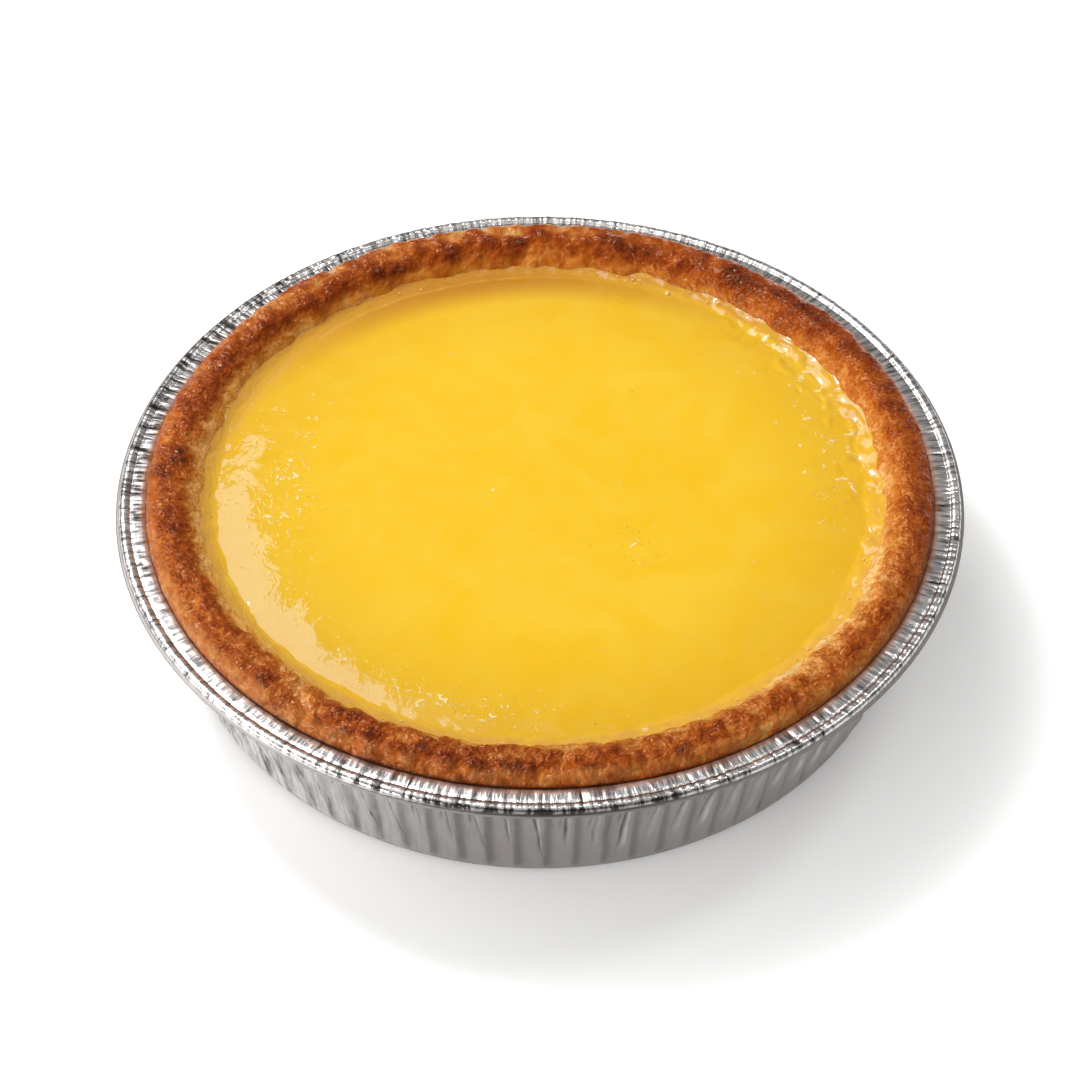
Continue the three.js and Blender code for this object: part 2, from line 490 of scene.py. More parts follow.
def curd_finish():
    """Set lemon curd: smooth and glossy, a little see-through, amber where it is thin at its edge,
    with a painted shadow of the crust along its back, pale milky haze, flecks of foam with
    painted glints, and fine ripples and pits near its edge."""
    material, tree, shader = new_finish(
        "lemon_curd",
        **{
            "Subsurface Weight": 0.25,
            "Subsurface Radius": (0.6, 0.35, 0.05),
            "Subsurface Scale": 0.006,
            "Specular IOR Level": 0.45,
            "Specular Tint": (0.3, 0.62, 1.0, 1),
        },
    )
    place = object_place(tree)
    swirl = stretch(tree, noise(tree, place, 13, 4, 0.55, 1.6), 0.3, 0.7)
    haze = stretch(tree, noise(tree, place, 2.2, 3, 0.6, 0.8), 0.45, 0.75, 0, 0.35)
    swirl = plus(tree, swirl, haze, clamp=True)
    deep_yellow, light_yellow = shade(239, 190, 19), shade(240, 197, 48)
    amber = shade(190, 127, 30)
    milky_haze = shade(220, 165, 72)
    foam_and_glint_white = shade(250, 228, 168)
    colour = mix_rgb(tree, swirl, deep_yellow, light_yellow)
    # Amber where the curd is thin at its edge, and painted shadow of the crust along the back.
    colour = mix_rgb(tree, mark(tree, "thin_and_painted_shade"), colour, amber)
    colour = mix_rgb(tree, mark(tree, "milky"), colour, milky_haze)

    # Pale foam with painted glints: white flecks where small bubbles catch the light, and white
    # patches on the wet right bank.
    specked = mark(tree, "specked")
    speck_noise = noise(tree, place, 1.0, 2, 0.5, 1.0)
    flecks_and_glints = stretch(tree, plus(tree, speck_noise, times(tree, specked, 0.13)), 0.75, 0.78)
    skin_noise = noise(tree, place, 2.3, 4, 0.62, 1.2)
    foamy_and_glinting = times(tree, mark(tree, "foamy_and_glinting"), 0.26)
    skin = stretch(tree, plus(tree, skin_noise, foamy_and_glinting), 0.78, 0.81)
    foam_and_painted_glints = times(tree, number_step(tree, "MAXIMUM", flecks_and_glints, skin), FOAM_AND_GLINT_STRENGTH)
    colour = mix_rgb(tree, foam_and_painted_glints, colour, foam_and_glint_white)
    tree.links.new(colour, shader.inputs["Base Color"])

    gloss = stretch(tree, noise(tree, place, 3, 3), 0.3, 0.7, 0.015, 0.045)
    gloss = plus(tree, gloss, times(tree, mark(tree, "satin"), 0.16))
    tree.links.new(gloss, shader.inputs["Roughness"])

    near_edge = mark(tree, "rippled")
    ripple = noise(tree, place, 6, 4, 0.5, 0.6)
    height = times(tree, times(tree, ripple, near_edge), 0.22 * MM)
    height = plus(tree, height, times(tree, foam_and_painted_glints, 0.12 * MM))
    specks = stretch(tree, speck_noise, 0.56, 0.74, 0.0, 0.05 * MM)
    height = plus(tree, height, times(tree, specks, specked))
    cells = {"Vector": place, "Scale": PITS_PER_METRE}
    pits = part(tree, "ShaderNodeTexVoronoi", cells).outputs["Distance"]
    pits = times(tree, stretch(tree, pits, 0.0, 0.22, -1, 0), near_edge)
    raise_surface(tree, shader, plus(tree, height, times(tree, pits, 0.03 * MM)))
    return material


# ---------------------------------------------------------------- foil dish

PLEATS = 86
WALL_STEPS = 16  # points round the wall for each pleat; the rolled edge has twice as many
PLEAT_WIDTH = 7.0
BASE_RADIUS = 90.2
WALL_SLOPE = 0.18
FOIL = 0.4
CORNER = 3.6
WALL_TOP = SHELF - FOIL
LONG_SIDE = 0.62  # how much of a pleat climbs outwards
CREASE_AT = 0.35  # where the crease runs, as a share of a pleat
LANE_GAP = 37.0  # pleats lie this far apart in the unevenness, so that each is its own
FOLDS_FULL = 6  # height at which the folds have their full depth
CROWDING = 0.7  # how strongly the points crowd towards the crease


def pleated_wall(height):
    """Rings up the outside of the wall, with the painted shade and painted light of each point.
    climbs outwards over its long side and drops back over the rest, both by 3t^2 - 2t^3. A narrow
    crease with a ridge beside it leans up the long side, and a short crease lies left of it near
    the top. The points crowd towards the crease by the warp t - k sin(2 pi (t - c)) / 2 pi."""
    share = np.tile(np.arange(WALL_STEPS) / WALL_STEPS, PLEATS)[None, :]
    pleat = np.repeat(np.arange(PLEATS), WALL_STEPS)[None, :]
    height = height[:, None]
    on_wall = ease(height, 1.2, FOLDS_FULL) * fall(height, WALL_TOP - 1.5, WALL_TOP)
    warped = share - CROWDING * on_wall * np.sin(TURN * (share - CREASE_AT)) / TURN

    lane = triples(pleat * LANE_GAP, height / 5.5, 0.0)
    lean = unevenness(triples(pleat * LANE_GAP, 0.5, 9.5), 1.0, 16)
    slant = 0.4 * np.tanh(5 * (np.cos(pleat * TURN / PLEATS) - 0.07)) + 0.14 * lean
    wobble = slant * (height - 24) / 12 + 0.08 * unevenness(lane, 1.0, 11)
    place = warped + wobble * on_wall * bump_at((share - CREASE_AT + 0.5) % 1, 0.5, 0.25)
    angle = (pleat + place) * TURN / PLEATS

    side = (place + 0.05 * unevenness(lane, 1.7, 12)) % 1
    fold = np.where(side < LONG_SIDE, side / LONG_SIDE, (1 - side) / (1 - LONG_SIDE))
    fold = 2 * ease(fold, -0.12, 1.12) - 1
    fold_size = 0.46 + 0.12 * unevenness(lane + 5, 1.3, 13)
    short_side = ease(side, LONG_SIDE - 0.07, LONG_SIDE + 0.07) * fall(side, 0.78, 1)

    from_crease = (warped - CREASE_AT) * PLEAT_WIDTH
    top, foot = 36 - 5 * lean, 12 + 7 * lean
    depth = ease(height, foot - 3, foot + 4) * fall(height, top - 3, top + 2)
    depth = depth * np.clip(0.8 + 0.7 * unevenness(lane + 9, 0.8, 14), 0, 1)
    each_pleat = unevenness(triples(pleat * 53.0, 0.5, 0.5), 1.0, 17)
    depth = depth * np.clip(0.85 + 0.7 * each_pleat, 0.25, 1)
    short = np.clip(0.45 + 1.3 * unevenness(lane + 15, 0.7, 18), 0, 1)
    short = short * ease(height, 20, 25) * fall(height, 35, 38)
    crease = depth * bump_at(from_crease, 0, 0.3)
    crease = crease + short * bump_at(from_crease - 0.06 * (height - 28), -1.0, 0.3)
    ridge = depth * bump_at(from_crease, 0.66, 0.34)

    radius = BASE_RADIUS + WALL_SLOPE * height + FOIL
    buckle = 0.09 * unevenness(rings(radius, height * 0.5, angle), 7, 15)
    radius = radius + on_wall * (fold_size * fold - 0.5 * crease + 0.46 * ridge + buckle)
    # Painted shade: darker in the creases, on each pleat's short side and towards the front.
    dark = 0.64 * crease + 0.34 * short_side + 0.18 * facing(angle, -97, 20)
    # Painted light: the ridge beside each crease and the left side of the wall get the mirror tint.
    mirror_and_painted_light = np.maximum(0.6 * on_wall * ridge, facing(angle, -147, 31))
    return rings(radius, height, angle), on_wall * np.clip(dark, 0, 1), mirror_and_painted_light


def edge_profile():
    """Radius and height of the shelf and the rolled edge: underside, roll, hem, crease, bead,
    groove and shelf."""
    under = SHELF - FOIL
    roll_bottom = 38.3
    crease = (104.45, 39.0)
    bead_foot = (104.25, 38.95)
    bead_top = (103.0, ROLL_TOP)
    groove = (101.6, SHELF - 0.05)
    return np.concatenate(
        [
            straight((98.2, under), (101.4, under), 1),
            bend((101.4, under), (101.6, 38.4), (103.8, roll_bottom), 2),
            bend((103.8, roll_bottom), (DISH_RADIUS, roll_bottom), (DISH_RADIUS, 38.75), 2),
            bend((DISH_RADIUS, 38.75), (DISH_RADIUS, 39.05), crease, 2),
            straight(crease, bead_foot, 1),
            bend(bead_foot, (104.2, ROLL_TOP), bead_top, 5),
            bend(bead_top, (101.9, ROLL_TOP), groove, 3),
            bend(groove, (101.4, SHELF - 0.2), (101.1, SHELF), 2),
            straight((101.1, SHELF), (97.2, SHELF - 0.05), 5),
        ]
    )


def rolled_edge():
    """Rings of the shelf and the rolled edge, with how mirror-bright each point is, its painted
    shade, and the painted reflection of the crust on the shelf.
    Crimps run across it: unevenness that is drawn out along the profile, and pushes the points
    along its normal. Slower unevenness makes some stretches deeper than others."""
    section = edge_profile()
    normal = outward(section)
    angle = ring_angles(PLEATS * WALL_STEPS * 2)[None, :]
    radius, height = section[:, :1], section[:, 1:]
    on_top = ease(height, 39.0, 39.7)
    left = facing(angle, 165, 45)

    run = np.cumsum(np.hypot(*np.gradient(section, axis=0).T))[:, None]
    track = rings(DISH_RADIUS, (0.22 + 0.3 * left) * run, angle)
    crimp = unevenness(track, 1.5, 21) + 0.5 * unevenness(track, 0.75, 22)
    slow = 0.8 + 0.4 * unevenness(track, 9, 23)
    calmer = (0.35 + 0.65 * ease(radius, 97, 99.5)) * (1 - 0.4 * left)
    dents = 0.06 * on_top * unevenness(rings(radius, height, angle), 3, 24)
    hem = bump_at(radius, DISH_RADIUS, 0.5)
    notch = 0.08 * hem * np.minimum(0, unevenness(track, 1.1, 25))
    push = 0.14 * on_top * slow * calmer * crimp + dents + notch
    points = rings(radius + normal[:, :1] * push, height + normal[:, 1:] * push, angle)

    on_flank = ease(radius, 103.3, 103.8) * fall(radius, 104.5, 104.8) * (height > 38.8)
    on_shelf = fall(radius, 100.9, 101.6)
    on_bead = on_top * (1 - on_shelf)
    # Painted shade: dark crimp valleys, a dark line along the hem, a dark front flank of the bead, and
    # the bead and shelf darker on the left.
    painted_shade = 0.4 * on_top * ease(-crimp, 0.1, 0.9) + 0.25 * hem
    painted_shade = painted_shade + on_flank * (0.1 + 0.6 * facing(angle, -90, 22))
    painted_shade = painted_shade + on_bead * 0.5 * facing(angle, 155, 24)
    painted_shade = painted_shade + on_shelf * (0.1 + 0.4 * facing(angle, 168, 36))
    # Painted reflection of the crust on the shelf under it, weaker at the front left.
    under_crust = (height > SHELF - 0.2) * fall(radius, 97.6, 99.5)
    painted_crust_reflection = under_crust * (0.9 - 0.4 * facing(angle, -136, 30))
    return points, np.broadcast_to(on_top, push.shape), painted_shade, painted_crust_reflection


def foil_dish():
    """The dish: its flat base, rounded corner, pleated wall, rolled edge and plain inside."""
    count = PLEATS * WALL_STEPS
    wall_foot = BASE_RADIUS + WALL_SLOPE * CORNER
    corner = bend((BASE_RADIUS - CORNER, 0), (BASE_RADIUS + 0.2, 0), (wall_foot + FOIL, CORNER), 5)
    starting = np.linspace(CORNER, FOLDS_FULL, 3)[:-1]
    climbing = np.linspace(FOLDS_FULL, WALL_TOP - 0.05, 16)
    wall, wall_painted_shade, wall_painted_light = pleated_wall(np.concatenate([starting, climbing]))
    rim, rim_bright, rim_painted_shade, rim_crust_reflection = rolled_edge()

    base = [pole(0), *sparse_rings(count, (40, 0, 16), (70, 0, 8), (82, 0, 4), (85, 0, 2))]
    corner_rows = rings(corner[:, :1], corner[:, 1:], ring_angles(count))
    inside = sparse_rings(
        count,
        (97.0, SHELF - 0.4, 1),
        (wall_foot, CORNER + FOIL, 2),
        (BASE_RADIUS - CORNER, FOIL, 4),
        (70, FOIL, 8),
        (40, FOIL, 16),
    )
    rows = [*base, *corner_rows, *wall, *rim, *inside, pole(FOIL)]
    corner_start = len(base)
    wall_start = corner_start + len(corner_rows)
    rim_start = wall_start + len(wall)
    # Painted shade: a dark line at the foot of the wall.
    corner_painted_shade = 0.5 * fall(corner_rows[..., 2], 1.0, 3.2)
    # Painted light on the wall, painted shade on the corner, wall and rim, and the painted reflection
    # of the crust on the shelf.
    marks = {
        "mirror_and_painted_light": marked(rows, (wall_start, wall_painted_light), (rim_start, rim_bright)),
        "painted_shade": marked(
            rows, (corner_start, corner_painted_shade), (wall_start, wall_painted_shade), (rim_start, rim_painted_shade)
        ),
        "painted_crust_reflection": marked(rows, (rim_start, rim_crust_reflection)),
    }
    piece = turned_piece("foil_dish_skin", rows, foil_finish(), marks)
    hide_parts("foil_dish")
    return piece


# ---------------------------------------------------------------- crust

CRUST_STEPS = 1680
CRUST_FOOT = SHELF + 0.1
CROWN = CRUST_TOP - 0.95  # top of the plain profile, before its lumps and waves
CROWN_RADIUS = 91.2
FILL_RADIUS = 84.8
MOST_PUSH = 0.94  # how far the lumps may stand in or out


def crown_waves(angle):
    """How far the crust's crown rises and falls round the tart."""
    return waves(angle, (2, 0.2, 0.6), (3, 0.15, 2.1), (7, 0.15, 4), (13, 0.1, 1.3))


def edge_waves(angle):
    """How far the line between crust and curd wanders out and in round the tart."""
    return waves(angle, (1, 0.5, 1.2), (3, 0.3, 0.4), (8, 0.25, 5.2), (15, 0.15, 2.6))


def crust_sides(angle):
    """Bells over the front, the right and the back of the tart, where the crust differs."""
    return facing(angle, -90, 60), facing(angle, 10, 62), facing(angle, 95, 50)


def crust_profile():
    """Radius and height from the foot on the shelf, over the crown and in under the curd."""
    side_foot = (CRUST_FOOT_RADIUS - 0.4, CRUST_FOOT)
    side_middle = (CRUST_FOOT_RADIUS - 0.5, CRUST_FOOT + 1.4)
    shoulder = (96.7, CRUST_FOOT + 2.8)
    crown = (CROWN_RADIUS, CROWN)
    curd_line = (FILL_RADIUS, CREST - 0.3)
    return np.concatenate(
        [
            straight((CRUST_FOOT_RADIUS - 1.2, CRUST_FOOT), side_foot, 2),
            bend(side_foot, side_middle, shoulder, 9),
            bend(shoulder, (94.6, CROWN), crown, 15),
            bend(crown, (88.2, CROWN), curd_line, 24),
            straight(curd_line, (FILL_RADIUS - 1.4, CREST - 2.6), 6),
        ]
    )


def crust_relief(across, up, base, angle):
    """How far the lumps, the nodules, the crumbs and the finest grain stand out, and the push
    along the normal that they add up to. Lumps are about 7 and 2.6 mm, nodules 4.6 mm, crumbs
    1.5 mm or 0.95 mm on the right, and grain 0.8 mm. Nodules and crumbs are packed in space that
    is bent by unevenness. The push is bounded by m tanh(push / m)."""
    front, right, back = crust_sides(angle)
    swirls = np.stack([unevenness(base, 2.6, seed) for seed in (38, 39, 40)], -1)
    bent = base + 0.9 * swirls
    lumps = unevenness(base, 7, 31) * 0.45 + unevenness(base, 2.6, 32) * 0.25
    nodules = (grains(bent, 4.6, 37) - 0.7) * (0.9 + 0.9 * front - 0.5 * right + 0.5 * back)
    crumbs = grains(bent, 1.5, 33) * (1 - right) + grains(bent, 0.95, 57) * right
    grain = unevenness(base, 0.8, 34)
    shown = ease(up, CRUST_FOOT - 0.2, CRUST_FOOT + 1.4)
    crumb_size = 0.6 - 0.26 * right - 0.2 * facing(angle, 100, 45)
    push = shown * (lumps + nodules + crumb_size * crumbs + 0.13 * grain - 0.5)
    push = push + 0.5 * shown * patch(across, angle, 95.8, 2.4, 90, 52)
    return lumps, nodules, crumbs, grain, MOST_PUSH * np.tanh(push / MOST_PUSH)


def crust_marks(across, up, base, angle, lumps, nodules, crumbs, grain):
    """How browned, how shaded in its hollows, grainy, doughy and soaked each point of the crust is.
    The browning is one level with the crown's bell and the relief added and the paler places
    taken off, with painted shade along the front foot and painted light and shade on the right."""
    front, right, back = crust_sides(angle)
    inner_slope = fall(across, FILL_RADIUS + 0.6, FILL_RADIUS + 4.5)
    glazed = fall(across, FILL_RADIUS + 0.2, FILL_RADIUS + 2.4)
    outer_slope = ease(across, 91.5, 94.5)
    flank = ease(across, 94.8, 96.4)
    low_flank = ease(across, 94.6, 96.2)

    # Paler and darker places, each bell given as (size, bearing, width).
    under_done = 0.12 + bells(
        angle,
        (0.04, -5, 40),
        (0.04, 180, 40),
        (-0.1, 95, 50),
        (0.08, -145, 42),
        (0.14, -150, 22),
        (0.08, -115, 25),
    )
    pale = inner_slope * under_done + glazed * 0.14 * (1 - facing(angle, 25, 50))
    # Painted light and shade: lighter on the right front and darker on the right back, evening out how
    # the lamps light the crust.
    pale = pale + bells(angle, (0.12, -45, 26), (-0.12, 45, 30), (-0.06, 60, 30), (0.04, -60, 25))
    pale = pale + flank * bells(angle, (0.04, -146, 22), (0.12, 66, 36))
    pale = pale - outer_slope * (0.17 * facing(angle, -112, 42) + 0.1 * facing(angle, 180, 40) * flank)

    darkest = CROWN_RADIUS + 0.2 + bells(angle, (4.0, -8, 45), (-3.6, 105, 45))
    on_crown = bump_at(across, darkest, 4.2) * (0.2 + bells(angle, (0.1, 90, 55), (0.1, 180, 22)))
    rim_brown = bump_at(across, 94.2, 1.8) * bells(angle, (0.13, -95, 18), (0.1, -42, 14))
    patches = unevenness(base, 10, 35) * 0.13 + unevenness(base, 4.2, 36) * 0.09
    relief = 0.12 * (crumbs - 0.7) + (0.16 + 0.14 * front + 0.18 * back) * (nodules + lumps)
    # Painted shade along the front foot of the crust, added into the browning.
    shaded_foot = 0.45 * fall(up, CRUST_FOOT, CRUST_FOOT + 1.6) * facing(angle, -100, 36)
    browning_and_painted_light = 0.47 + rim_brown + on_crown - pale + patches * (1 + 0.8 * back) + relief + shaded_foot

    # Painted shade in the hollows between crumbs and between nodules.
    between_crumbs = ease(-crumbs - 0.12 * grain, -0.66, -0.2) * (1 - 0.5 * right)
    between_nodules = ease(-nodules, 0.1, 0.5)
    painted_hollow_shade = 0.2 * (between_crumbs + between_nodules) * (1 - 0.6 * low_flank)
    grainy = (1 - 0.35 * low_flank) * (1 - 0.5 * facing(angle, 95, 55))

    doughy = ease(across, 94.2, 96.2) * ease(up, CRUST_FOOT, CRUST_FOOT + 1.2)
    doughy = doughy * bells(angle, (0.6, -146, 28), (0.34, -78, 36), (0.05, 90, 60))
    doughy = doughy * (0.85 + 0.9 * unevenness(base, 2.6, 66))
    soaked = fall(across, FILL_RADIUS, 88.2 - 1.3 * back)
    soaked = soaked * (0.08 + bells(angle, (0.58, -140, 40), (0.3, 130, 52)))
    soaked = soaked * np.clip(1 + 0.9 * unevenness(base, 2.2, 68), 0, 1.6)
    return {
        "browning_and_painted_light": browning_and_painted_light,
        "painted_hollow_shade": painted_hollow_shade,
        "grainy": grainy,
        "doughy": doughy,
        "soaked": soaked,
    }


def crust():
    """The pastry case. Its crown is a profile turned round the tart, bent by slow waves, drawn in
    and out along the curd, and pushed along its normal by the relief."""
    profile = crust_profile()
    normal = outward(profile)
    angle = ring_angles(CRUST_STEPS)[None, :]
    across, up = profile[:, :1], profile[:, 1:]
    radius = across + fall(across, FILL_RADIUS, CROWN_RADIUS) * edge_waves(angle)
    height = up + ease(up, CRUST_FOOT, CROWN) * crown_waves(angle)
    base = rings(radius, height, angle)
    *relief, push = crust_relief(across, up, base, angle)
    _, right, _ = crust_sides(angle)
    fringe = 0.4 * wander(angle, 12, 70, 48) + 0.12 * wander(angle, 60, 150, 59) * (1 - right)
    fringe = fringe * fall(across, 84.9, 87)
    radius = radius + fringe
    base = base + rings(fringe, 0.0, angle)
    points = rings(radius + normal[:, :1] * push, height + normal[:, 1:] * push, angle)

    underside = 0.7
    floor = 6.2
    outside = sparse_rings(
        CRUST_STEPS,
        (40, underside, 16),
        (70, underside, 8),
        (86, underside, 4),
        (89.6, 4.3, 4),
        (96.4, CRUST_FOOT - 0.1, 2),
    )
    hollow = sparse_rings(
        CRUST_STEPS, (83.5, 30, 2), (82, 12.2, 4), (80, 7.5, 4), (70, floor, 8), (40, floor, 16)
    )
    rows = [pole(underside), *outside, *points, *hollow, pole(floor)]
    start = 1 + len(outside)
    hidden = {"browning_and_painted_light": 0.3, "grainy": 1.0}
    marks = {
        title: marked(rows, (start, values), elsewhere=hidden.get(title, 0.0))
        for title, values in crust_marks(across, up, base, angle, *relief).items()
    }
    piece = turned_piece("crust", rows, crust_finish(), marks)
    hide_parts("pastry_case")
    return piece


# ---------------------------------------------------------------- lemon filling

CURD_STEPS = 1280
TROUGH_RADIUS = 80.6
TROUGH = CREST - 1.5
CURD_REACH = 85.5  # how far the curd runs in under the crust
MIDDLE = TROUGH + 0.9


def curd_height(radius, steepness=1.2):
    """Height of the curd by radius: it falls from the middle as the twelfth power of the radius,
    turns at the trough, and climbs ever more steeply until it runs in under the crust."""
    inner = MIDDLE - (MIDDLE - TROUGH) * (radius / TROUGH_RADIUS) ** 12
    climb = np.clip((radius - TROUGH_RADIUS) / (CURD_REACH - TROUGH_RADIUS), 0, 1)
    bank = TROUGH + (CREST - TROUGH) * climb**steepness
    return np.where(radius < TROUGH_RADIUS, inner, bank)


def curd_rings(nominal, share):
    """Rings of the curd's top at the nominal radii, each with the full count over the share. The
    trough and the crest wander round the tart, and ripples of 8 and 3.2 mm cross it. The bank has
    soft folds of 5.5, 2.4 and 1.1 mm, fine ridges 1.7 mm apart and beads of 1.7 mm along its top.
    On the right it has sharper creases, where unevenness changes sign, and blisters inside it."""
    nominal = np.array(nominal)[:, None]
    angle = ring_angles(CURD_STEPS // share)[None, :]
    trough_line = 0.5 * wander(angle, 5, 34, 41) * bump_at(nominal, TROUGH_RADIUS - 0.5, 4.5)
    trough_line = trough_line + 0.2 * wander(angle, 40, 130, 51) * bump_at(nominal, 81, 1.6)
    at_edge = ease(nominal, TROUGH_RADIUS, FILL_RADIUS)
    radius = nominal + (1 - at_edge) * trough_line + at_edge * edge_waves(angle)
    low_back = 0.35 * facing(angle, 105, 62) * at_edge
    height = curd_height(nominal, 1.2 + 0.7 * facing(angle, 20, 60)) - (CREST - TROUGH) * low_back

    place = rings(radius, 0.0, angle)
    edge = ease(nominal, 58, 79)
    ripple = 0.035 * unevenness(place, 8, 42) + 0.012 * unevenness(place, 3.2, 43) * edge
    wet = facing(angle, 22, 45)
    folds = 0.36 * unevenness(place, 5.5, 44) * (1 - 0.5 * wet)
    folds = folds + 0.17 * unevenness(place, 2.4, 45) * (1 - 0.7 * wet)
    folds = folds * (1 - 0.6 * facing(angle, 120, 50))
    creases = 1.1 * np.abs(unevenness(rings(38.0, radius, angle), 3.6, 58)) * wet
    fine_ridges = np.sin(TURN * (nominal + 0.9 * wander(angle, 9, 60, 49)) / 1.7) * (1 - wet)
    bank = folds + 0.6 * creases + 0.03 * unevenness(place, 1.1, 46) + 0.04 * fine_ridges
    bank = bump_at(nominal, 83.0, 2.4) * bank
    bank = bank + 0.14 * patch(nominal, angle, 80.7, 0.6, 118, 45)
    beads = 0.25 * bump_at(nominal, 84.6, 1.2) * unevenness(place, 1.7, 47)
    beads = beads * (1 - 0.7 * wet) * (1 - 0.75 * facing(angle, 110, 55))

    blistered = patch(nominal, angle, 78, 5.5, 24, 30) * ease(unevenness(place, 6, 52), -0.1, 0.3)
    blisters = 0.55 * unevenness(place, 3.4, 53) + 0.12 * unevenness(place, 1.4, 54)
    return rings(radius, height + ripple + bank + beads + blistered * blisters, angle)


def curd_marks(points):
    """How thin (with a painted shadow of the crust along the back), milky, satin, rippled, specked
    and foamy each point of the curd is, where specked and foamy places carry painted glints: soft
    patches and slopes of the radius, the edge ones mottled by unevenness."""
    reach = np.hypot(points[:, 0], points[:, 1])
    angle = np.arctan2(points[:, 1], points[:, 0])
    back = facing(angle, 103, 47)
    mottle = 0.2 * unevenness(points, 4.0, 55) + 0.12 * unevenness(points, 1.6, 56)

    cloudy = (1 - 0.8 * back) * (1 - 0.7 * facing(angle, 20, 40))
    milky = ease(reach, 80, 82.8) * cloudy * np.clip(0.55 + 1.2 * mottle, 0, 1)
    seam = patch(reach + 0.5 * unevenness(points, 7.0, 67), angle, 80.5, 0.45, 126, 42)
    milky = milky + 0.8 * seam * np.clip(0.6 + 2 * mottle, 0, 1)
    left_haze = patch(reach, angle, 80.2, 1.7, 152, 20)
    milky = milky + 0.5 * left_haze * np.clip(0.7 + 2 * mottle, 0, 1)

    # Amber where the curd is thin next to the crust; the stronger and wider amber along the back is
    # painted shadow of the crust.
    at_edge = 0.72 + 0.28 * back - bells(angle, (0.3, -70, 60), (0.28, 12, 38)) + mottle
    at_edge = ease(reach, 79.5, 84) * at_edge
    deeper_and_painted_shade = np.maximum(0.22 * ease(reach, 45, 80), back * ease(reach, 66, 80))

    # Specked places: small bubbles whose white flecks are partly painted glints.
    cluster = np.exp(-((points[:, 0] - 24) ** 2 + (points[:, 1] + 20) ** 2) / 7**2)
    specked = 0.9 * cluster + patch(reach, angle, 62, 9, 178, 30)
    specked = specked + patch(reach, angle, 74, 6, -105, 28) + 0.8 * patch(reach, angle, 70, 9, 8, 32)
    return {
        "thin_and_painted_shade": np.maximum(at_edge, deeper_and_painted_shade),
        "milky": milky,
        "satin": ease(reach, 80, 82.5) * facing(angle, 108, 38),
        "rippled": ease(reach, 30, 78) * 0.8 + 0.2,
        "specked": specked,
        # Painted glints as white patches on the wet right bank, and a patch of foam near the right
        # edge.
        "foamy_and_glinting": patch(reach, angle, 81, 3.5, 30, 26) + 0.7 * patch(reach, angle, 76, 4.5, 4, 12),
    }


def lemon_filling():
    """The curd, on the pastry's floor. Its rings lie closest together along its edge."""
    edge = np.concatenate([np.linspace(66, 74, 16)[:-1], np.arange(74, CURD_REACH + 1.3, 0.27)])
    between = np.linspace(40, 66, 14)[:-1]
    bottom = 6.6
    under = sparse_rings(
        CURD_STEPS, (40, bottom, 16), (74, bottom, 8), (81.7, 13, 4), (83.4, 33, 2)
    )
    rows = [
        pole(bottom),
        *under,
        *curd_rings(edge[::-1], 1),
        *curd_rings(between[::-1], 2),
        *curd_rings([36, 30, 24, 18, 12], 4),
        *curd_rings([7.0], 8),
        pole(MIDDLE),
    ]
    piece = turned_piece("lemon_curd", rows, curd_finish(), curd_marks(np.concatenate(rows)))
    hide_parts("lemon_filling")
    return piece


# ---------------------------------------------------------------- bubbles and crumbs


def scattered(name, centres, sizes, flatness, roughness, sides, material, seed):
    """One mesh of many small lumps. A lump is a ring of points at its waist and a smaller one above,
    closed by a point at the bottom and the top. Roughness moves each point in or out at random."""
    dice = np.random.default_rng(seed)
    turn = ring_angles(sides)
    rows = [pole(-0.6), rings(1.0, 0.0, turn), rings(0.72, 0.62, turn), pole(0.9)]
    shape = np.concatenate(rows)
    shape[:, 2] *= flatness
    faces = stitch(rows)
    count = len(centres)
    rough = 1 + roughness * dice.normal(size=(count, len(shape), 1))
    points = centres[:, None] + shape * rough * sizes[:, None, None]
    joined = [[corner + k * len(shape) for corner in face] for k in range(count) for face in faces]
    piece = make_piece(name, points.reshape(-1, 3), joined, material, {})
    return piece


def curd_bubbles(material):
    """Small set bubbles in the skin of the curd: a cluster right of the middle, and a thin scatter
    near the left, front and right edges."""
    dice = np.random.default_rng(61)

    def arc(count, bearing, spread, reach, width):
        """Bubbles strewn about one bearing and radius, closer together towards the middle."""
        angle = np.radians(bearing + spread * dice.normal(size=count))
        spot = reach + width * np.clip(dice.normal(size=count), -2, 2)
        return rings(np.minimum(spot, TROUGH_RADIUS), 0.0, angle)

    cluster = np.array([23.3, -20.3, 0.0]) + dice.normal(size=(46, 3)) * (5.0, 3.6, 0.0)
    left = arc(26, 176, 14, 65, 4)
    front = arc(24, -100, 16, 72, 3)
    right = arc(34, 12, 20, 75, 3)
    inner = arc(22, -20, 60, 45, 12)
    spots = np.concatenate([cluster, left, front, right, inner])
    size = 0.14 + 0.26 * dice.random(len(spots)) ** 2
    spots[:, 2] = curd_height(np.hypot(spots[:, 0], spots[:, 1])) - 0.02
    return scattered(
        "curd_bubbles", spots, size, 0.28, 0.0, 8, material, seed=62
    )


def pastry_crumbs(material):
    """Brown crumbs on the curd: two by the back edge, and finer ones along the foot of the crust."""
    dice = np.random.default_rng(71)
    fine = 50
    angle = dice.random(fine) * TURN
    spots = rings(83.2 + 0.9 * np.clip(dice.normal(size=fine), -2, 2), 0.0, angle)
    spots = np.concatenate([[(34.0, 73.7, 0.0), (47.5, 69.2, 0.0)], spots])
    size = np.concatenate([[0.8, 0.45], 0.14 + 0.26 * dice.random(fine) ** 2])
    spots[:, 2] = curd_height(np.hypot(spots[:, 0], spots[:, 1])) + 0.1
    return scattered("pastry_crumbs", spots, size, 0.8, 0.16, 6, material, seed=72)


# ---------------------------------------------------------------- studio

